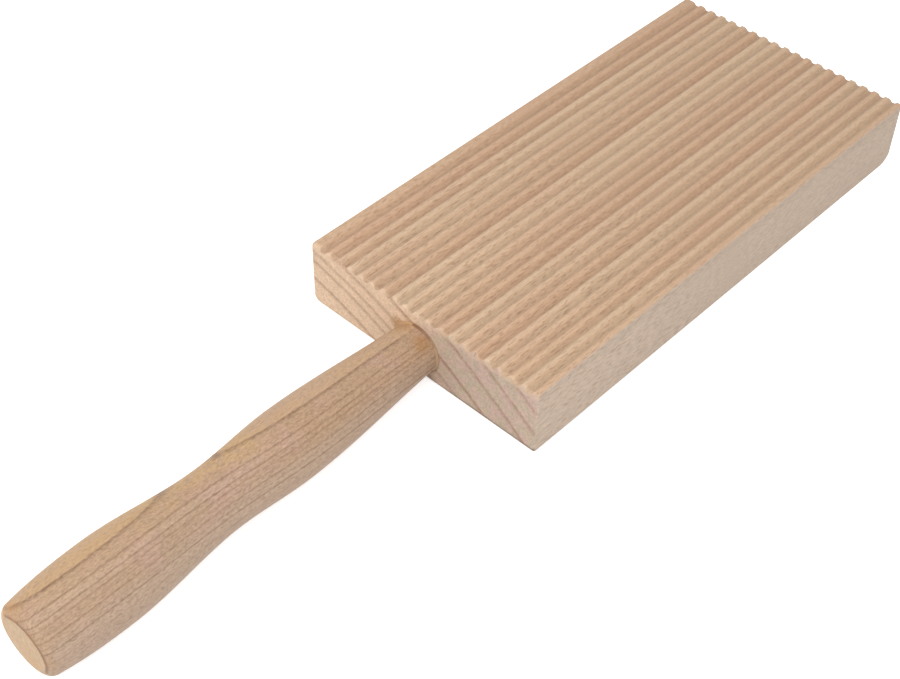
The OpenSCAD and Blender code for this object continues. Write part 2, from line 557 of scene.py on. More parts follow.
@dataclass(frozen=True)
class BoardWood:
    """Bare, planed hardwood of the board, with growth rings and short dark flecks."""

    board: "RibbedBoard"
    early: Colour = shade(211, 183, 152)
    late: Colour = shade(203, 168, 137)
    reddish: Colour = shade(206, 166, 138)
    fleck: Colour = shade(146, 106, 78)
    # End faces: painted light on the land's side and painted shade beyond the handle, over the end
    # grain's own tone; the olive is patches of its own tone.
    end_left_lit: Colour = shade(229, 199, 169)
    end_right_shaded: Colour = shade(197, 171, 159)
    end_olive: Colour = shade(187, 172, 152)
    end_line: Colour = shade(150, 112, 88)
    side_tone: Colour = shade(202, 184, 166)
    tip_tone: Colour = shade(226, 196, 166)
    # Painted shade in a thin ring round the neck, where the joint's gap shades the end face.
    stain: Colour = shade(182, 138, 92)
    seam_shade: Colour = shade(104, 76, 54)
    pith: tuple[float, float] = (57.0, -101.0)
    ring_wander: float = 1.2
    rings: Stops = (
        (104.5, 0.6), (111.0, 0.8), (116.1, 0.65), (118.8, 0.6), (122.3, 0.65),
        (127.0, 1.0), (133.8, 0.8), (139.1, 0.7), (144.0, 0.6), (149.0, 0.6),
    )
    stripes: tuple[float, ...] = (104.5, 111.0, 116.1, 122.3, 127.0, 133.8, 139.1, 144.0, 149.0)
    band_width: float = 1.1
    band_share: float = 0.028
    patch_grain: Point = (0.022, 0.13, 0.13)
    reddish_share: float = 0.35
    side_share: float = 0.8
    far_side_share: float = 0.35
    end_share: float = 0.85
    line_share: float = 0.86
    pore_size: float = 0.48
    pore_share: float = 0.3
    mottle_share: float = 0.22
    # Painted light: the wood a little paler towards the handle end.
    near_painted_light: float = 0.035
    fibre_size: tuple[float, float] = (14.0, 0.5)
    fibre_share: float = 0.06
    fine_size: tuple[float, float] = (1.6, 0.36)
    fine_share: float = 0.18
    side_fine_share: float = 0.06
    fleck_size: tuple[float, float] = (1.8, 0.36)
    fleck_rareness: float = 0.56
    fleck_share: float = 0.36
    # Painted shade in the rib valleys, deepest on their floors, and a little on the crests' tops to
    # soften their highlight.
    painted_valley_shade: float = 0.24
    painted_shade_stops: Stops = ((0.0, 1.0), (0.1, 0.62), (0.35, 0.3), (0.7, 0.0), (1.0, 0.14))
    tip_share: float = 0.4
    stain_y: float = 5.8
    stain_rise: float = 2.7
    stain_share: float = 0.9
    # Reach and strength of the painted shade round the neck.
    seam_shade_r: float = 6.15
    seam_shade_share: float = 0.6
    roughness: float = 0.62
    bump: float = 0.35

    def make(self, effects: WoodEffects) -> bpy.types.Material:
        """Builds the material.

        Args:
            effects: The wood effects.

        Returns:
            The material.
        """
        coat = Coat("board_wood", self.roughness, effects)
        end = coat.smooth(coat.calc("ABSOLUTE", coat.facing_x), 0.45, 0.75)
        along = coat.calc("SUBTRACT", 1.0, end)
        off_middle = coat.calc("ABSOLUTE", coat.y)
        half = self.board.wide / 2
        beside = coat.smooth(off_middle, half - 0.8, half - 0.4)
        side = coat.product(beside, coat.smooth(coat.facing_z, 0.4, 0.8, 1.0, 0.0))
        ring = coat.placed(effects.rings, Pith_Y=self.pith[0], Pith_Z=self.pith[1],
                           Wander=self.ring_wander)

        self.grain_tone(coat, ring)
        side_share = coat.smooth(coat.y, -10.0, 10.0, self.side_share, self.far_side_share)
        coat.lay(self.side_tone, side, side_share)
        self.end_grain(coat, ring, end)
        # Painted light: paler towards the handle end, where the light falls stronger.
        coat.tint(coat.smooth(coat.x, 0.0, -60.0), along, self.near_painted_light)
        fibres = coat.fibres(self.fibre_size)
        coat.tint(fibres, along, self.fibre_share)
        fine = coat.fibres(self.fine_size)
        fine_share = coat.calc("MULTIPLY_ADD", side, self.side_fine_share, self.fine_share)
        coat.tint(fine, along, fine_share)
        flecks = coat.flecks(self.fleck_size, self.fleck_rareness)
        near = coat.smooth(coat.x, 30.0, -50.0, 0.35, 1.0)
        coat.lay(self.fleck, flecks, along, self.fleck_share, near)
        # Painted shade: the rib valleys darkened, and the crests' tops a little.
        coat.tint(self.painted_valley_shade_mask(coat), -self.painted_valley_shade)
        coat.lay(self.tip_tone, self.tip_mask(coat), self.tip_share)
        self.joint_marks(coat, end)
        height = coat.calc("MULTIPLY_ADD", flecks, -0.5, fine)
        return coat.finished(fibres, height, self.bump)

    def grain_tone(self, coat: Coat, ring: Outputs) -> None:
        """Starts with the colour of the wood from its rings, bands and reddish patches.

        Args:
            coat: The material in the making.
            ring: Place among the rings.
        """
        span = (self.stripes[0] - 2, self.stripes[-1] + 1)
        lateness = coat.ramp(ring["Radius"], self.lateness_stops(), *span)
        coat.colour = coat.blend(lateness, self.early, self.late)
        patch_place = coat.vector("MULTIPLY", coat.place, self.patch_grain)
        patches = coat.smooth(coat.noise(patch_place, detail=3, rough=0.6), 0.45, 0.7)
        coat.lay(self.reddish, patches, self.reddish_share)
        bands = coat.placed(coat.effects.bands, Radius=ring["Radius"], Sweep=ring["Sweep"],
                            Width=self.band_width)
        coat.tint(bands["Band"], self.band_share)

    def lateness_stops(self) -> list[tuple[float, float]]:
        """Stops that darken each stripe towards its outer boundary and start the next one pale.

        Returns:
            Pairs of a distance from the pith and a share.
        """
        stops = []
        for inner, outer in zip(self.stripes, self.stripes[1:]):
            width = outer - inner
            stops += [(inner + 0.4, 0.0), (inner + 0.55 * width, 0.4), (outer - 0.4, 1.0)]
        return stops

    def end_grain(self, coat: Coat, ring: Outputs, end: Socket) -> None:
        """Adds the end faces: pale on the land's side, with painted light there and painted shade
        on the other side, ring lines, pores and painted shade along the low edge.

        Args:
            coat: The material in the making.
            ring: Place among the rings.
            end: Mask of the end faces.
        """
        olive = coat.smooth(coat.grains(0.3), 0.4, 0.6)
        # Painted light on the land's side and painted shade beyond the handle, over the end grain's
        # own tone.
        right = coat.blend(olive, self.end_right_shaded, self.end_olive)
        tone = coat.blend(coat.smooth(coat.y, 5.0, -9.0), self.end_left_lit, right)
        coat.lay(tone, end, self.end_share)
        span = (self.rings[0][0] - 2, self.rings[-1][0] + 2)
        line = coat.ramp(ring["Radius"], self.line_stops(), *span)
        broken = coat.smooth(coat.grains(1.3), 0.32, 0.6, 0.6, 1.0)
        coat.lay(self.end_line, line, broken, end, self.line_share)
        pores = coat.fibres((self.pore_size, self.pore_size))
        coat.tint(pores, end, self.pore_share)
        mottled = coat.calc("SUBTRACT", coat.grains(0.4, detail=3), 0.5)
        coat.tint(mottled, end, self.mottle_share)
        # Painted shade along the end faces' low edge, where it faces down into the shade under the
        # board, stronger towards -Y.
        coat.tint(coat.smooth(coat.z, 1.4, 0.7), coat.smooth(coat.facing_x, -0.2, -0.5),
                  coat.smooth(coat.y, 0.0, -16.0, -0.1, -0.5))

    def line_stops(self) -> list[tuple[float, float]]:
        """Stops that draw a soft line at each ring's boundary on the end faces.

        Returns:
            Pairs of a distance from the pith and a strength.
        """
        stops = []
        for radius, strength in self.rings:
            stops += [(radius - 1.1, 0.0), (radius - 0.05, strength), (radius + 0.5, 0.0)]
        return stops

    def painted_valley_shade_mask(self, coat: Coat) -> Socket:
        """Mask of the painted shade in the valleys between the ribs, strongest on their floors,
        with a little on the crests' tops.

        Args:
            coat: The material in the making.

        Returns:
            The mask.
        """
        top = self.board.thick
        deep = self.board.rib_depth
        stops = [(top - (1 - share) * deep, strength) for share, strength in self.painted_shade_stops]
        depth = coat.ramp(coat.z, stops, top - deep, top)
        return coat.product(depth, coat.smooth(coat.facing_z, 0.2, 0.4))

    def tip_mask(self, coat: Coat) -> Socket:
        """Mask of the rib ends at the handle, which sanding has left paler here and there.

        Args:
            coat: The material in the making.

        Returns:
            The mask.
        """
        uneven = coat.calc("ADD", coat.grains(1.4), coat.grains(0.35, detail=1))
        reach = coat.calc("MULTIPLY_ADD", uneven, 3.6, self.board.near_x - 3.1)
        near = coat.smooth(coat.calc("SUBTRACT", coat.x, reach), -0.25, 0.35, 1.0, 0.0)
        top = self.board.thick
        return coat.product(near, coat.smooth(coat.z, top - 2.0, top - 1.0))

    def joint_marks(self, coat: Coat, end: Socket) -> None:
        """Adds the glue stain on the end face beside the neck, and painted shade in a thin ring
        round the neck.

        Args:
            coat: The material in the making.
            end: Mask of the end faces.
        """
        joint = self.board.joint
        spot = (self.board.near_x, self.stain_y, joint.axis_z + self.stain_rise)
        stain = coat.placed(coat.effects.stains, Away=coat.off(spot), Grain=0.9, Wander=3.0,
                            Inner=2.6, Outer=4.6, Least=0.5)
        coat.lay(self.stain, stain["Stain"], end, self.stain_share)
        # Painted shade: a thin dark ring round the neck, where the gap at the joint shades the end
        # face, kept clear of the glue stain.
        off_neck = coat.off(joint.at(0, 0, 0))
        seam_shade = coat.smooth(off_neck, self.seam_shade_r, self.seam_shade_r + 0.5, 1.0, 0.0)
        clear_of_stain = coat.smooth(coat.y, 2.6, 0.8)
        coat.lay(self.seam_shade, seam_shade, clear_of_stain, end, self.seam_shade_share)


@dataclass(frozen=True)
class HandleWood:
    """Sanded wood of the handle: near-flat growth layers with dotted lines, and sapwood on top."""

    handle: "TurnedHandle"
    early: Colour = shade(189, 161, 135)
    late: Colour = shade(178, 149, 122)
    line: Colour = shade(124, 94, 68)
    pinkish: Colour = shade(190, 155, 138)
    sapwood: Colour = shade(199, 164, 122)
    peach: Colour = shade(196, 163, 132)
    neck_tone: Colour = shade(183, 150, 119)
    # Painted cool bounce light from the floor, on the side of the handle that faces -Y.
    bounce_light_tone: Colour = shade(190, 166, 144)
    end_tone: Colour = shade(201, 172, 136)
    # Pale far side of the butt's rounding: partly sanded pale and partly painted light where it
    # faces away from the light.
    sanded_and_lit_tone: Colour = shade(216, 189, 154)
    rim: Colour = shade(132, 90, 56)
    orange: Colour = shade(200, 150, 98)
    stain: Colour = shade(172, 128, 80)
    layer_angle: float = 50.7
    pith_depth: float = 80.0
    ring_wander: float = 0.35
    drift: Stops = (
        (0.0, -2.6), (16.0, -1.9), (33.0, -1.6), (44.0, -1.25), (61.0, -0.65), (75.0, -0.1),
        (83.0, 0.0), (92.0, -0.15), (100.0, -0.42),
    )
    sap_edge: Stops = (
        (0.0, 7.5), (16.0, 7.5), (33.0, 7.8), (46.0, 7.8), (53.0, 7.93), (57.0, 8.15),
        (61.0, 7.9), (66.0, 7.65), (74.0, 7.2), (83.0, 7.02), (95.0, 7.0), (98.0, 7.05),
        (100.0, 7.2), (101.5, 7.0),
    )
    layers: Stops = (
        (-3.9, 0.25), (-1.78, 1.0), (-0.7, 0.35), (0.43, 0.7), (1.5, 0.3), (2.54, 0.65),
        (3.54, 0.85), (4.99, 0.8), (6.1, 0.25),
    )
    line_half: float = 0.17
    line_share: float = 0.85
    band_width: float = 0.7
    neck_share: float = 0.75
    pink_share: float = 0.45
    bounce_light_share: float = 0.6
    sap_share: float = 0.85
    fleck_size: tuple[float, float] = (0.9, 0.3)
    fleck_rareness: float = 0.53
    fleck_share: float = 0.26
    fibre_size: tuple[float, float] = (9.0, 0.4)
    fibre_share: float = 0.07
    fine_size: tuple[float, float] = (0.7, 0.34)
    fine_share: float = 0.3
    sap_fine_share: float = 0.16
    away_side: Point = (0.0, 0.64, -0.77)
    cut_grain: Point = (1.0, 1.9, 0.7)
    cut_share: float = 0.8
    orange_share: float = 0.5
    flat_share: float = 0.85
    warm_share: float = 0.3
    rim_share: float = 0.9
    stain_spots: tuple[Point, Point] = ((2.2, -2.9, 5.0), (1.4, 3.1, 5.2))
    stain_share: float = 0.75
    roughness: float = 0.55
    bump: float = 0.3

    def make(self, effects: WoodEffects) -> bpy.types.Material:
        """Builds the material.

        Args:
            effects: The wood effects.

        Returns:
            The material.
        """
        coat = Coat("handle_wood", self.roughness, effects)
        out, off_axis = self.axis_place(coat)
        tilt = math.radians(self.layer_angle)
        pith_y = -self.pith_depth * math.cos(tilt)
        pith_z = self.handle.joint.axis_z - self.pith_depth * math.sin(tilt)
        ring = coat.placed(effects.rings, Pith_Y=pith_y, Pith_Z=pith_z, Wander=self.ring_wander)
        depth = coat.calc("SUBTRACT", ring["Radius"], self.pith_depth)
        offset = coat.calc("SUBTRACT", depth, coat.profile(out, self.drift))
        past_edge = coat.calc("SUBTRACT", offset, coat.profile(out, self.sap_edge))

        self.heartwood(coat, ring, out)
        self.sapwood_tone(coat, out, past_edge)
        lines = self.layer_lines(coat, ring, out, offset, past_edge)
        coat.lay(self.line, lines, self.line_share)
        flecks = coat.flecks(self.fleck_size, self.fleck_rareness)
        coat.lay(self.line, flecks, self.fleck_share)
        fibres = coat.fibres(self.fibre_size)
        coat.tint(fibres, self.fibre_share)
        fine = coat.fibres(self.fine_size)
        fine_share = coat.smooth(past_edge, -0.2, 0.4, self.fine_share, self.sap_fine_share)
        coat.tint(fine, fine_share)
        self.rounding_tone(coat, out)
        self.flat_tone(coat, out, off_axis)
        self.stained_neck(coat)
        height = coat.calc("MULTIPLY_ADD", lines, -0.5, fine)
        return coat.finished(fibres, height, self.bump)

    def axis_place(self, coat: Coat) -> tuple[Socket, Socket]:
        """Where a point lies along the handle's axis, and how far it is from the axis.

        Args:
            coat: The material in the making.

        Returns:
            The distance out of the board's end, and the radius.
        """
        start = self.handle.joint.at(0, 0, 0)
        way = tuple(Vector(self.handle.joint.at(1, 0, 0)) - Vector(start))
        arm = coat.vector("SUBTRACT", coat.place, start)
        across = coat.vector("CROSS_PRODUCT", arm, way)
        return coat.measure("DOT_PRODUCT", arm, way), coat.measure("LENGTH", across)

    def heartwood(self, coat: Coat, ring: Outputs, out: Socket) -> None:
        """Starts with the wood below the sapwood: banded, browner at the neck, pink in places, with
        painted bounce light on the side that faces -Y.

        Args:
            coat: The material in the making.
            ring: Place among the rings.
            out: Distance out of the board's end.
        """
        bands = coat.placed(coat.effects.bands, Radius=ring["Radius"], Sweep=ring["Sweep"],
                            Width=self.band_width)
        coat.colour = coat.blend(coat.smooth(bands["Band"], -0.6, 0.6), self.early, self.late)
        at_neck = coat.smooth(out, 34.0, 54.0, 1.0, 0.0)
        coat.lay(self.neck_tone, at_neck, self.neck_share)
        pink = coat.smooth(coat.grains(0.13, detail=3, rough=0.6), 0.46, 0.62)
        coat.lay(self.pinkish, pink, self.pink_share)
        # Painted bounce light: a pale grey tone where the surface faces -Y.
        beside = coat.smooth(coat.facing_y, -0.7, -0.98, 0.0, self.bounce_light_share)
        coat.lay(self.bounce_light_tone, beside)

    def sapwood_tone(self, coat: Coat, out: Socket, past_edge: Socket) -> None:
        """Adds the sapwood past its edge, and the golden wood that fades away below the edge.

        Args:
            coat: The material in the making.
            out: Distance out of the board's end.
            past_edge: How far past the sapwood's edge the point is.
        """
        uneven = coat.smooth(coat.grains(0.25, detail=3), 0.4, 0.6, -0.25, 0.25)
        sapped = coat.calc("ADD", coat.smooth(out, 40.0, 50.0, 0.2, 0.8), uneven, clamp=True)
        tone = coat.blend(sapped, self.peach, self.sapwood)
        coat.lay(tone, coat.smooth(past_edge, -0.1, 0.15, 0.0, self.sap_share))
        coat.lay(self.sapwood, coat.smooth(past_edge, -3.4, -0.4), coat.smooth(out, 40.0, 50.0),
                 coat.smooth(out, 60.0, 84.0, 1.0, 0.25),
                 coat.smooth(coat.grains(0.3, detail=3), 0.36, 0.56, 0.4, 1.0))

    def layer_lines(self, coat: Coat, ring: Outputs, out: Socket, offset: Socket,
                    past_edge: Socket) -> Socket:
        """Mask of the dotted lines at the layers' boundaries and at the sapwood's edge.

        Args:
            coat: The material in the making.
            ring: Place among the rings.
            out: Distance out of the board's end.
            offset: Place across the layers.
            past_edge: How far past the sapwood's edge the point is.

        Returns:
            The mask.
        """
        edge = coat.ramp(past_edge, [(-0.5, 0.0), (-0.06, 1.0), (0.14, 0.0)], -2.0, 2.0)
        edge = coat.product(edge, coat.smooth(out, 1.0, 9.0, 0.2, 1.0))
        span = (self.layers[0][0] - 2, self.layers[-1][0] + 2)
        lines = coat.calc("MAXIMUM", coat.ramp(offset, self.line_stops(), *span), edge)
        dot_place = coat.join(coat.product(coat.x, 0.9), coat.product(offset, 2.0),
                              coat.product(ring["Sweep"], 1.6))
        dots = coat.noise(dot_place, detail=3, rough=0.7)
        return coat.product(lines, coat.smooth(dots, 0.35, 0.62, 0.35, 1.0))

    def line_stops(self) -> list[tuple[float, float]]:
        """Stops that draw a thin line at each layer's boundary, in its own strength.

        Returns:
            Pairs of a place across the layers and a strength.
        """
        stops = []
        for offset, strength in self.layers:
            stops += [(offset - 1.8 * self.line_half, 0.0), (offset, strength),
                      (offset + self.line_half, 0.0)]
        return stops

    def rounding_tone(self, coat: Coat, out: Socket) -> None:
        """Adds the orange tint of the butt's rounding, and its far side where it is sanded pale,
        partly painted light where it faces away from the light.

        Args:
            coat: The material in the making.
            out: Distance out of the board's end.
        """
        length = self.handle.length
        sap_corner = coat.off(self.handle.joint.at(length, 8.0, 0.63))
        coat.lay(self.orange, coat.smooth(out, length - 4.5, length - 1.5),
                 coat.smooth(coat.grains(0.2, detail=3), 0.4, 0.62), self.orange_share,
                 coat.smooth(sap_corner, 3.0, 8.0, 1.0, 0.12))
        # Partly sanded pale and partly painted light: the far side of the rounding, which faces
        # away from the light.
        coat.lay(self.sanded_and_lit_tone, coat.smooth(out, length - 1.7, length - 1.2),
                 coat.smooth(coat.facing(self.away_side), -0.04, 0.06))

    def flat_tone(self, coat: Coat, out: Socket, off_axis: Socket) -> None:
        """Adds the butt's pale flat face, its cut fibres and its thin dark rim.

        Args:
            coat: The material in the making.
            out: Distance out of the board's end.
            off_axis: Distance from the axis.
        """
        flat_r = self.handle.butt_flat_r
        length = self.handle.length
        at_end = coat.smooth(out, length - 0.3, length - 0.05)
        inward = coat.calc("SUBTRACT", off_axis, 0.25)
        reach = coat.calc("MULTIPLY_ADD", coat.grains(0.6), 0.5, inward)
        flat = coat.smooth(reach, flat_r - 0.3, flat_r, 1.0, 0.0)
        coat.lay(self.end_tone, flat, at_end, self.flat_share)
        stretched = coat.vector("MULTIPLY", coat.place, self.cut_grain)
        cut = coat.noise(stretched, detail=3, rough=0.6)
        coat.tint(coat.calc("SUBTRACT", cut, 0.5), at_end, self.cut_share)
        warm = coat.smooth(coat.grains(0.35, detail=3, rough=0.6), 0.44, 0.6)
        coat.lay(self.orange, warm, at_end, self.warm_share)
        rim = coat.ramp(reach, [(flat_r - 0.2, 0.0), (flat_r + 0.25, 1.0), (flat_r + 1.1, 0.0)],
                        0.0, 2 * flat_r)
        this_side = coat.smooth(coat.facing(self.away_side), 0.0, -0.06, 0.0, 1.0)
        coat.lay(self.rim, rim, this_side, at_end, self.rim_share)

    def stained_neck(self, coat: Coat) -> None:
        """Adds the glue that was wiped over the neck.

        Args:
            coat: The material in the making.
        """
        joint = self.handle.joint
        spots = [(joint.x - out, y, joint.axis_z + up) for out, y, up in self.stain_spots]
        away = coat.calc("MINIMUM", *[coat.off(spot) for spot in spots])
        stain = coat.placed(coat.effects.stains, Away=away, Grain=1.1, Wander=5.0, Inner=3.2,
                            Outer=5.6, Least=0.4)
        coat.lay(self.stain, stain["Stain"], self.stain_share)


@dataclass(frozen=True)
class CuredGlue:
    """Wood glue that has dried to amber, and to cream where it was wiped."""

    amber: Colour = shade(138, 102, 72)
    cream: Colour = shade(176, 146, 112)
    wiped: Colour = shade(192, 152, 108)
    roughness: float = 0.4

    def make(self, effects: WoodEffects) -> bpy.types.Material:
        """Builds the material.

        Args:
            effects: The wood effects.

        Returns:
            The material.
        """
        coat = Coat("wood_glue", self.roughness, effects)
        coat.colour = self.amber
        shifted = coat.calc("MULTIPLY_ADD", coat.grains(0.5), 3.0, coat.y)
        coat.lay(self.cream, coat.smooth(shifted, -3.4, -1.4, 1.0, 0.0))
        coat.lay(self.wiped, coat.smooth(shifted, 2.6, 3.8))
        coat.feed(coat.shader.inputs["Base Color"], coat.colour)
        return coat.material


class Skin:
    """Gathers rings of points and the faces between them into one closed mesh."""

    MERGE = 0.0008
    FLAT_FROM = 1.0
    SHARP_ANGLE = 50

    def __init__(self) -> None:
        """Starts with no points."""
        self.mesh = bmesh.new()

    def ring(self, points: Sequence[Point]) -> Ring:
        """Adds the points of one ring."""
        return [self.mesh.verts.new(point) for point in points]

    def band(self, first: Ring, second: Ring) -> None:
        """Joins two rings by a band of faces, which are shaded smooth where they are narrow.

        Args:
            first: One ring.
            second: The other, with as many points.
        """
        for index, corner in enumerate(first):
            following = (index + 1) % len(first)
            face = self.mesh.faces.new((corner, first[following], second[following], second[index]))
            face.smooth = (corner.co - first[following].co).length < self.FLAT_FROM

    def fan(self, ring: Ring, centre: Point) -> None:
        """Closes a ring by flat triangles round a centre.

        Args:
            ring: The ring.
            centre: The centre.
        """
        hub = self.mesh.verts.new(centre)
        for index, corner in enumerate(ring):
            self.mesh.faces.new((corner, ring[(index + 1) % len(ring)], hub))

    def cap(self, x: float, facing: float) -> None:
        """Fills all open edges that lie in one plane across X, round any hole there.

        Args:
            x: Where the plane is.
            facing: 1 or -1 for the way along X that the cap faces.
        """
        open_edges = [
            edge for edge in self.mesh.edges
            if edge.is_boundary and all(abs(corner.co.x - x) < self.MERGE for corner in edge.verts)
        ]
        bmesh.ops.triangle_fill(self.mesh, edges=open_edges, use_beauty=True, normal=(facing, 0, 0))

    def merge(self) -> None:
        """Joins points that fall together."""
        bmesh.ops.remove_doubles(self.mesh, verts=self.mesh.verts[:], dist=self.MERGE)

    def piece(self, name: str) -> bpy.types.Object:
        """Makes the piece, in metres.

        Args:
            name: The piece's name.

        Returns:
            Its object.
        """
        bmesh.ops.recalc_face_normals(self.mesh, faces=self.mesh.faces[:])
        bmesh.ops.scale(self.mesh, vec=(METRE, METRE, METRE), verts=self.mesh.verts[:])
        data = bpy.data.meshes.new(name)
        self.mesh.to_mesh(data)
        self.mesh.free()
        data.set_sharp_from_angle(angle=math.radians(self.SHARP_ANGLE))
        piece = bpy.data.objects.new(name, data)
        bpy.context.scene.collection.objects.link(piece)
        return piece


def fit_piece(piece: bpy.types.Object, node: str, material: bpy.types.Material) -> None:
    """Gives a piece its material in a slot and its body, and hides the CAD node that it stands for.

    Args:
        piece: The piece.
        node: The CAD node.
        material: The material.
    """
    piece.data.materials.append(material)
    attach(piece, "root")
    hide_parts(node)
    log.info("%s: %d faces", piece.name, len(piece.data.polygons))


@dataclass
class HandleJoint:
    """Where the handle's axis leaves the board's end, and which way it runs from there."""

    off_y: float = 0.4
    axis_z: float = 7.7
    lean_angle: float = 1.0
    lean: float = field(init=False)
    x: float = field(init=False)

    def __post_init__(self) -> None:
        """Takes the board's end from the frame, and turns the lean into radians."""
        self.x = box_mm("ribbed_board")[0].x
        self.lean = math.radians(self.lean_angle)

    def at(self, distance: float, radius: float, angle: float) -> Point:
        """A point round the handle's axis.

        Args:
            distance: Distance along the axis, out of the board's end.
            radius: Distance from the axis.
            angle: Angle round the axis from +Y towards +Z, in radians.

        Returns:
            The point in the part's frame.
        """
        across = radius * math.cos(angle)
        return (
            self.x - distance * math.cos(self.lean) - across * math.sin(self.lean),
            self.off_y - distance * math.sin(self.lean) + across * math.cos(self.lean),
            self.axis_z + radius * math.sin(angle),
        )

    def on_end_face(self, radius: float, angle: float) -> float:
        """Distance along the axis at which a point at that radius and angle is on the end face."""
        return -radius * math.cos(angle) * math.tan(self.lean)


@dataclass
class RibbedBoard:
    """The board: a planed block with ribs cut along its top and a blind bore in one end."""

    joint: HandleJoint
    rib_pitch: float = 3.27
    rib_depth: float = 1.0
    crest_share: float = 0.5
    land_w: float = 3.7
    under_edge_r: float = 0.3
    land_under_r: float = 1.5
    land_edge_r: float = 0.9
    rib_edge_r: float = 0.5
    near_top_r: float = 1.0
    far_top_r: float = 0.6
    near_bottom_r: float = 0.8
    far_bottom_r: float = 4.0
    upright_edge_r: float = 0.7
    bore_r: float = 5.12
    bore_l: float = 26.0
    crest_wear: float = 0.07
    tip_chips: float = 0.3
    near_x: float = field(init=False)
    far_x: float = field(init=False)
    wide: float = field(init=False)
    thick: float = field(init=False)
    first_crest_y: float = field(init=False)

    ARC_STEPS = 6
    RIB_STEPS = 20
    BORE_STEPS = 96
    EDGE_STEPS = 10
    SPAN_STEPS = 44
    LEAST_STEP = 0.004
    CHIP_REACH = 1.2
    CHIP_GRAIN = (1.5, 1.1)
    CHIP_LEVEL = 0.35
    WEAR_GRAIN = (18, 9)

    def __post_init__(self) -> None:
        """Takes the outer sizes from the frame."""
        low, high = box_mm("ribbed_board")
        self.near_x = low.x
        self.far_x = high.x
        self.wide = high.y - low.y
        self.thick = high.z
        self.first_crest_y = high.y - self.land_w + self.rib_pitch / 2

    def build(self) -> bpy.types.Object:
        """Builds the mesh.

        Returns:
            The board.
        """
        skin = Skin()
        rings = [skin.ring(self.ring_at(x)) for x in self.stations()]
        for first, second in zip(rings, rings[1:]):
            skin.band(first, second)
        skin.merge()
        self.bore(skin)
        skin.cap(self.near_x, -1)
        skin.cap(self.far_x, 1)
        return skin.piece("ribbed_board_wood")

    def ring_at(self, x: float) -> list[Point]:
        """The board's section at one place along it, inside its rounded end edges.

        Args:
            x: Place along the board.

        Returns:
            Points round the section, as many at every place.
        """
        from_near = x - self.near_x
        from_far = self.far_x - x
        inset = self.drop(min(from_near, from_far), self.upright_edge_r)
        low = max(self.drop(from_near, self.near_bottom_r), self.drop(from_far, self.far_bottom_r))
        eased = max(self.drop(from_near, self.near_top_r), self.drop(from_far, self.far_top_r))
        high = self.thick - eased
        half = self.wide / 2 - inset
        under = self.under_edge_r
        land_under = self.land_under_r
        land = self.land_edge_r
        plain = arc((-half + under, low + under), under, 180, 270, self.ARC_STEPS)
        plain += arc((half - land_under, low + land_under), land_under, 270, 360, self.ARC_STEPS)
        plain += arc((half - land, high - land), land, 0, 90, self.ARC_STEPS)
        return [(x, y, z) for y, z in plain] + self.rib_line(x, half, high)

    def rib_line(self, x: float, half: float, high: float) -> list[Point]:
        """The ribs at one place along the board, from the plain land to the other side face.

        Args:
            x: Place along the board.
            half: Half the board's width there.
            high: Height of the plain land there.

        Returns:
            The points.
        """
        step = self.rib_pitch / self.RIB_STEPS
        count = math.ceil((self.first_crest_y + self.wide / 2) / step)
        places = [self.first_crest_y - number * step for number in range(count)]
        points = []
        for place in [*places, -half]:
            y = max(-half, place)
            eased = high - self.drop(y + half, self.rib_edge_r)
            rib = round((self.first_crest_y - y) / self.rib_pitch)
            if rib:
                eased -= self.chipped(x, y, rib)
            z = min(self.rib_height(y), eased)
            points.append((x, y, z - self.wear(x, y, z, rib)))
        return points

    def chipped(self, x: float, y: float, rib: int) -> float:
        """How far a rib's tip at the handle end is broken down below the rounding there.

        Args:
            x: Place along the board.
            y: Place across it.
            rib: Number of the rib.

        Returns:
            The depth.
        """
        near = max(0.0, 1 - (x - self.near_x) / (self.CHIP_REACH * self.near_top_r))
        along, across = self.CHIP_GRAIN
        uneven = noise.noise(Vector((x / along, y / across, rib * 3.7)))
        whole = noise.noise(Vector((rib * 7.31, 4.2, 0.5)))
        return self.tip_chips * near * max(0.0, self.CHIP_LEVEL + uneven + whole)

    def rib_height(self, y: float) -> float:
        """Height of the ribs at a place across the board, as arcs that pass into each other.

        Args:
            y: Place across the board.

        Returns:
            The height.
        """
        half_pitch = self.rib_pitch / 2
        both_r = (half_pitch ** 2 + self.rib_depth ** 2) / (2 * self.rib_depth)
        crest_r = self.crest_share * both_r
        valley_r = both_r - crest_r
        ribs = (self.first_crest_y - y) / self.rib_pitch
        from_crest = self.rib_pitch * abs(ribs - round(ribs))
        if from_crest <= self.crest_share * half_pitch:
            return self.thick - crest_r + math.sqrt(crest_r ** 2 - from_crest ** 2)
        floor_z = self.thick - self.rib_depth
        return floor_z + valley_r - math.sqrt(valley_r ** 2 - (half_pitch - from_crest) ** 2)

    def stations(self) -> list[float]:
        """Places along the board where a section is made, close together at the eased ends.

        Returns:
            The places, in order.
        """
        places = []
        for step in range(self.EDGE_STEPS + 1):
            share = 1 - math.cos(math.pi / 2 * step / self.EDGE_STEPS)
            for radius in (self.near_top_r, self.near_bottom_r):
                places.append(self.near_x + radius * share)
            for radius in (self.far_top_r, self.far_bottom_r):
                places.append(self.far_x - radius * share)
        start = self.near_x + self.near_top_r
        span = self.far_x - self.far_bottom_r - start
        places += [start + span * step / self.SPAN_STEPS for step in range(1, self.SPAN_STEPS)]
        ordered = sorted(places)
        kept = [ordered[0]]
        for place in ordered[1:]:
            if place - kept[-1] > self.LEAST_STEP:
                kept.append(place)
        kept[-1] = self.far_x
        return kept

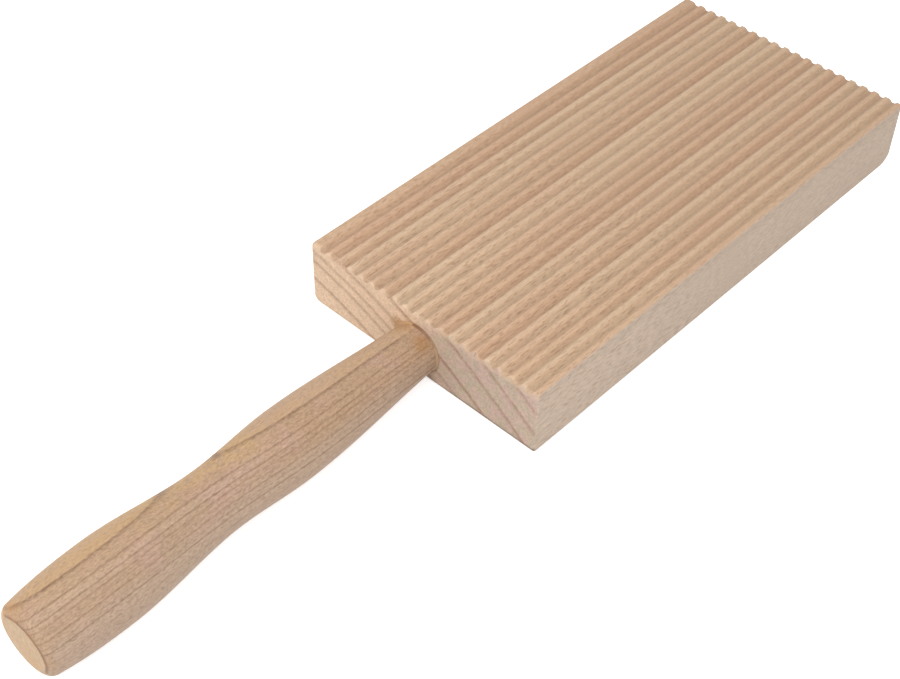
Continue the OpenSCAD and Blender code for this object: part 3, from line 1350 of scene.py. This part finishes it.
    def wear(self, x: float, y: float, z: float, rib: int) -> float:
        """How far the ribs' crests stand below their full height.

        Args:
            x: Place along the board.
            y: Place across it.
            z: Height of the point.
            rib: Number of the rib, or 0 for the plain land.

        Returns:
            The depth.
        """
        if rib == 0:
            return 0.0
        share = max(0.0, 1 - (self.thick - z) / self.rib_depth)
        along, across = self.WEAR_GRAIN
        amount = 0.5 + 0.5 * noise.noise(Vector((x / along, rib * 5.3, y / across)))
        return self.crest_wear * share * amount

    @staticmethod
    def drop(distance: float, radius: float) -> float:
        """How far a rounded edge has fallen away at a distance from the face that it rounds to.

        Args:
            distance: The distance from that face.
            radius: The edge's radius.

        Returns:
            The fall.
        """
        if distance >= radius:
            return 0.0
        return radius - math.sqrt(radius ** 2 - (radius - distance) ** 2)

    def bore(self, skin: Skin) -> None:
        """Adds the walls and the bottom of the blind bore.

        Args:
            skin: The board's mesh.
        """
        mouth = [math.tau * step / self.BORE_STEPS for step in range(self.BORE_STEPS)]
        rings = []
        for depth in (0.0, self.bore_l / 2, self.bore_l):
            points = []
            for angle in mouth:
                distance = -depth if depth else self.joint.on_end_face(self.bore_r, angle)
                points.append(self.joint.at(distance, self.bore_r, angle))
            rings.append(skin.ring(points))
        for first, second in zip(rings, rings[1:]):
            skin.band(first, second)
        skin.fan(rings[-1], self.joint.at(-self.bore_l, 0, 0))


@dataclass
class TurnedHandle:
    """The handle: one turned stick with a finger swell, a waist, a palm swell and a tenon."""

    joint: HandleJoint
    neck_r: float = 5.9
    neck_flare: float = 3.0
    swell_r: float = 8.1
    swell_at: float = 37.0
    waist_r: float = 7.1
    waist_at: float = 56.5
    palm_r: float = 9.0
    palm_at: float = 82.5
    butt_taper: float = 9.0
    butt_round_r: float = 2.1
    butt_flat_r: float = 5.8
    tenon_r: float = 5.0
    tenon_bevel: float = 0.8
    glue_film: float = 0.12
    lathe_wave: float = 0.05
    length: float = field(init=False)
    tenon_l: float = field(init=False)
    shoulder_gap: float = field(init=False)

    TURN_STEPS = 144
    CURVE_STEP = 1.0
    BUTT_STEPS = 12
    SAND_GRAIN = 14
    SAND_ROUND = 1.3

    def __post_init__(self) -> None:
        """Takes the lengths from the frame, less what the lean adds to them."""
        low, high = box_mm("handle")
        rise = math.sin(self.joint.lean)
        run = math.cos(self.joint.lean)
        self.length = (self.joint.x - low.x - self.butt_flat_r * rise) / run
        self.tenon_l = (high.x - self.joint.x - (self.tenon_r - self.tenon_bevel) * rise) / run
        self.shoulder_gap = self.glue_film + self.neck_r * rise

    def build(self) -> bpy.types.Object:
        """Builds the mesh.

        Returns:
            The handle.
        """
        return turn("turned_handle", self.outline(), self.joint, self.TURN_STEPS, self.sanded)

    def outline(self) -> Outline:
        """Half outline of the handle, from the tenon's tip to the butt.

        Returns:
            Pairs of a distance out of the board's end and a radius.
        """
        taper = math.radians(self.butt_taper)
        round_start = self.length - self.butt_round_r * (1 - math.sin(taper))
        round_start_r = self.butt_flat_r + self.butt_round_r * math.cos(taper)
        stations = [
            (self.shoulder_gap, self.neck_r, math.tan(math.radians(self.neck_flare))),
            (self.swell_at, self.swell_r, 0.0),
            (self.waist_at, self.waist_r, 0.0),
            (self.palm_at, self.palm_r, 0.0),
            (round_start, round_start_r, -math.tan(taper)),
        ]
        points = [
            (-self.tenon_l, 0.0),
            (-self.tenon_l, self.tenon_r - self.tenon_bevel),
            (self.tenon_bevel - self.tenon_l, self.tenon_r),
            (-self.tenon_l / 2, self.tenon_r),
            (self.shoulder_gap, self.tenon_r),
        ]
        for start, end in zip(stations, stations[1:]):
            steps = math.ceil((end[0] - start[0]) / self.CURVE_STEP)
            points += [self.cubic(start, end, step / steps) for step in range(steps)]
        centre = (self.length - self.butt_round_r, self.butt_flat_r)
        points += arc(centre, self.butt_round_r, 90 - self.butt_taper, 0, self.BUTT_STEPS)
        points.append((self.length, 0.0))
        return points

    @staticmethod
    def cubic(start: Station, end: Station, share: float) -> tuple[float, float]:
        """A point of the curve between two stations.

        Args:
            start: Distance, radius and slope at the first station.
            end: The same at the second one.
            share: Share of the way between them.

        Returns:
            Distance and radius of the point.
        """
        reach = end[0] - start[0]
        rest = 1 - share
        radius = start[1] * (1 + 2 * share) * rest ** 2 + end[1] * share ** 2 * (3 - 2 * share)
        radius += reach * (start[2] * share * rest ** 2 - end[2] * share ** 2 * rest)
        return start[0] + reach * share, radius

    def sanded(self, distance: float, radius: float, angle: float) -> tuple[float, float]:
        """Moves a point of the outline to where hand sanding has left the surface.

        Args:
            distance: Distance out of the board's end.
            radius: Radius of the outline there.
            angle: Angle round the axis, in radians.

        Returns:
            The distance and the sanded radius.
        """
        if distance < self.neck_r or distance > self.length - self.butt_round_r:
            return distance, radius
        seat = Vector((distance / self.SAND_GRAIN, self.SAND_ROUND * math.cos(angle),
                       self.SAND_ROUND * math.sin(angle)))
        start = min(1.0, (distance - self.neck_r) / self.neck_r)
        return distance, radius - self.lathe_wave * start * (0.5 + 0.5 * noise.noise(seat))


@dataclass
class GlueJoint:
    """The glue: a film round the tenon, a pool past its tip and a fine bead round the neck."""

    handle: TurnedHandle
    board: RibbedBoard
    bead: float = 0.3

    TURN_STEPS = 144
    BULGE = ((0.4, 0.5), (0.75, 0.2), (1.0, 0.0))

    def build(self) -> bpy.types.Object:
        """Builds the mesh.

        Returns:
            The glue.
        """
        return turn("glue_joint_film", self.outline(), self.board.joint, self.TURN_STEPS,
                    self.against_board)

    def outline(self) -> Outline:
        """Half outline of the glue, from the pool round the outside and back along the tenon.

        Returns:
            Pairs of a distance out of the board's end and a radius, where a distance of 0 stands
            for the board's end face.
        """
        handle = self.handle
        neck = handle.neck_r
        lip = handle.shoulder_gap
        bulge = [(lip + out * self.bead, neck + wide * self.bead) for out, wide in self.BULGE]
        return [
            (-self.board.bore_l, 0.0),
            (-self.board.bore_l, self.board.bore_r),
            (0.0, self.board.bore_r),
            (0.0, neck + self.bead),
            *bulge,
            (lip, neck),
            (lip, handle.tenon_r),
            (handle.tenon_bevel - handle.tenon_l, handle.tenon_r),
            (-handle.tenon_l, handle.tenon_r - handle.tenon_bevel),
            (-handle.tenon_l, 0.0),
        ]

    def against_board(self, distance: float, radius: float, angle: float) -> tuple[float, float]:
        """Lays the points of distance 0 on the board's end face, which the handle leans against.

        Args:
            distance: Distance out of the board's end.
            radius: Radius of the outline there.
            angle: Angle round the axis, in radians.

        Returns:
            The distance along the axis and the radius.
        """
        if distance == 0:
            return self.board.joint.on_end_face(radius, angle), radius
        return distance, radius


def turn(name: str, outline: Outline, joint: HandleJoint, steps: int,
         finish: Callable[[float, float, float], tuple[float, float]]) -> bpy.types.Object:
    """Turns a half outline about the handle's axis.

    Args:
        name: The piece's name.
        outline: Pairs of a distance out of the board's end and a radius, both ends on the axis.
        joint: Where the axis is.
        steps: Number of faces round the axis.
        finish: Moves a distance and a radius, at an angle, to where the surface is.

    Returns:
        The piece.
    """
    skin = Skin()
    rings = []
    for distance, radius in outline[1:-1]:
        points = []
        for step in range(steps):
            angle = math.tau * step / steps
            moved, reach = finish(distance, radius, angle)
            points.append(joint.at(moved, reach, angle))
        rings.append(skin.ring(points))
    for first, second in zip(rings, rings[1:]):
        skin.band(first, second)
    skin.fan(rings[0], joint.at(outline[0][0], 0, 0))
    skin.fan(rings[-1], joint.at(outline[-1][0], 0, 0))
    return skin.piece(name)


@dataclass(frozen=True)
class PhotoView:
    """The camera, as the photograph's perspective gives it."""

    azimuth: float = -47.643
    elevation: float = 45.188
    roll: float = 1.333
    lens: float = 64.011
    sensor: float = 36.0
    frame_w: int = 900
    frame_h: int = 679
    target: Point = (-1.0, 0.0, 8.0)
    target_px: tuple[float, float] = (615.981, 201.700)
    target_depth: float = 369.844
    near_clip: float = 10.0

    def make(self) -> None:
        """Builds the camera and makes it the scene's."""
        around = math.radians(self.azimuth)
        above = math.radians(self.elevation)
        back = Vector((math.sin(around) * math.cos(above), -math.cos(around) * math.cos(above),
                       math.sin(above)))
        level = (-back).cross(Vector((0, 0, 1))).normalized()
        level_down = (-back).cross(level)
        turn_by = math.radians(self.roll)
        right = level * math.cos(turn_by) - level_down * math.sin(turn_by)
        down = level * math.sin(turn_by) + level_down * math.cos(turn_by)
        focal = self.lens / self.sensor * self.frame_w
        off_x = (self.target_px[0] - self.frame_w / 2) / focal * self.target_depth
        off_y = (self.target_px[1] - self.frame_h / 2) / focal * self.target_depth
        eye = Vector(self.target) - right * off_x - down * off_y + back * self.target_depth
        data = bpy.data.cameras.new("photo_view")
        data.lens = self.lens
        data.sensor_width = self.sensor
        data.clip_start = self.near_clip * METRE
        camera = bpy.data.objects.new("photo_view", data)
        turned = Matrix((right, -down, back)).transposed().to_4x4()
        camera.matrix_world = Matrix.Translation(eye * METRE) @ turned
        bpy.context.scene.collection.objects.link(camera)
        bpy.context.scene.camera = camera


@dataclass(frozen=True)
class Studio:
    """The pale floor under the part and the soft light round it."""

    floor_size: float = 3000.0
    floor_colour: Colour = shade(232, 232, 232)
    floor_roughness: float = 0.9
    floor_gloss: float = 0.1
    floor_glow: float = 0.72
    sky_colour: Colour = shade(250, 251, 255)
    sky_strength: float = 0.78
    lamp_aim: Point = (-40.0, 0.0, 0.0)
    lamp_from: Point = (-320.0, -100.0, 420.0)
    lamp_size: float = 260.0
    lamp_power: float = 1.1
    lamp_colour: tuple[float, float, float] = (1.0, 0.955, 0.9)

    def build(self, handle: TurnedHandle, board: RibbedBoard) -> None:
        """Builds the floor, the sky and the lamp.

        Args:
            handle: The handle, whose palm swell rests on the floor.
            board: The board, whose far bottom edge rests on it.
        """
        self.floor(handle, board)
        self.sky()
        self.lamp()

    def floor(self, handle: TurnedHandle, board: RibbedBoard) -> None:
        """Builds the floor, tilted so that the part rests on it as it does on a worktop.

        Args:
            handle: The handle.
            board: The board.
        """
        swell = Vector(handle.joint.at(handle.palm_at, handle.palm_r, -math.pi / 2))
        edge = Vector((board.far_x - board.far_bottom_r, 0, 0))
        tilt = math.atan2(edge.z - swell.z, edge.x - swell.x)
        half = self.floor_size / 2 * METRE
        data = bpy.data.meshes.new("worktop")
        corners = [(-half, -half, 0), (half, -half, 0), (half, half, 0), (-half, half, 0)]
        data.from_pydata(corners, [], [(0, 1, 2, 3)])
        worktop = bpy.data.objects.new("worktop", data)
        worktop.matrix_world = Matrix.Translation(swell * METRE) @ Matrix.Rotation(-tilt, 4, "Y")
        data.materials.append(self.floor_material())
        bpy.context.scene.collection.objects.link(worktop)

    def floor_material(self) -> bpy.types.Material:
        """A matt floor that looks white and still takes the part's shadow.

        Returns:
            The material.
        """
        material = bpy.data.materials.new("worktop_white")
        material.use_nodes = True
        material.node_tree.nodes.clear()
        wire = Wiring(material.node_tree)
        matt = wire.put(Kind.SURFACE_SHADER, {"Base Color": self.floor_colour,
                                              "Roughness": self.floor_roughness,
                                              "Specular IOR Level": self.floor_gloss})
        path = wire.put(Kind.LIGHT_PATH).outputs
        seen = wire.calc("MAXIMUM", path["Is Camera Ray"], path["Is Glossy Ray"])
        seen = wire.calc("MAXIMUM", seen, path["Is Transmission Ray"])
        glow = wire.put(Kind.LAMP_SHADER, {"Strength": wire.product(seen, self.floor_glow)})
        both = wire.put(Kind.ADD_SHADER, {0: matt.outputs["BSDF"], 1: glow.outputs["Emission"]})
        wire.put(Kind.OUTPUT, {"Surface": both.outputs["Shader"]})
        return material

    def sky(self) -> None:
        """Lights the part evenly from all round, and looks white behind it."""
        world = bpy.data.worlds.new("studio")
        world.use_nodes = True
        nodes = world.node_tree.nodes
        links = world.node_tree.links
        nodes.clear()
        light = nodes.new("ShaderNodeBackground")
        light.inputs["Color"].default_value = self.sky_colour
        light.inputs["Strength"].default_value = self.sky_strength
        white = nodes.new("ShaderNodeBackground")
        white.inputs["Color"].default_value = (1, 1, 1, 1)
        path = nodes.new(Kind.LIGHT_PATH.value)
        mix = nodes.new("ShaderNodeMixShader")
        output = nodes.new("ShaderNodeOutputWorld")
        links.new(path.outputs["Is Camera Ray"], mix.inputs["Fac"])
        links.new(light.outputs["Background"], mix.inputs[1])
        links.new(white.outputs["Background"], mix.inputs[2])
        links.new(mix.outputs["Shader"], output.inputs["Surface"])
        bpy.context.scene.world = world

    def lamp(self) -> None:
        """Adds the one soft lamp, beside the plain land of the board."""
        data = bpy.data.lights.new("window_lamp", "AREA")
        data.shape = "DISK"
        data.size = self.lamp_size * METRE
        data.energy = self.lamp_power
        data.color = self.lamp_colour
        lamp = bpy.data.objects.new("window_lamp", data)
        start = Vector(self.lamp_from)
        way = (Vector(self.lamp_aim) - start).normalized()
        turned = way.to_track_quat("-Z", "Y").to_matrix().to_4x4()
        lamp.matrix_world = Matrix.Translation(start * METRE) @ turned
        bpy.context.scene.collection.objects.link(lamp)


def main() -> None:
    """Builds the pieces in order, dresses them, and sets up the studio."""
    logging.basicConfig(level=logging.INFO, format="%(message)s")
    bpy.context.scene.view_settings.view_transform = "Standard"
    effects = WoodEffects()
    joint = HandleJoint()
    board = RibbedBoard(joint)
    handle = TurnedHandle(joint)
    glue = GlueJoint(handle, board)
    fit_piece(board.build(), "ribbed_board", BoardWood(board).make(effects))
    fit_piece(handle.build(), "handle", HandleWood(handle).make(effects))
    fit_piece(glue.build(), "glue_joint", CuredGlue().make(effects))
    Studio().build(handle, board)
    PhotoView().make()


if __name__ == "__main__":
    main()
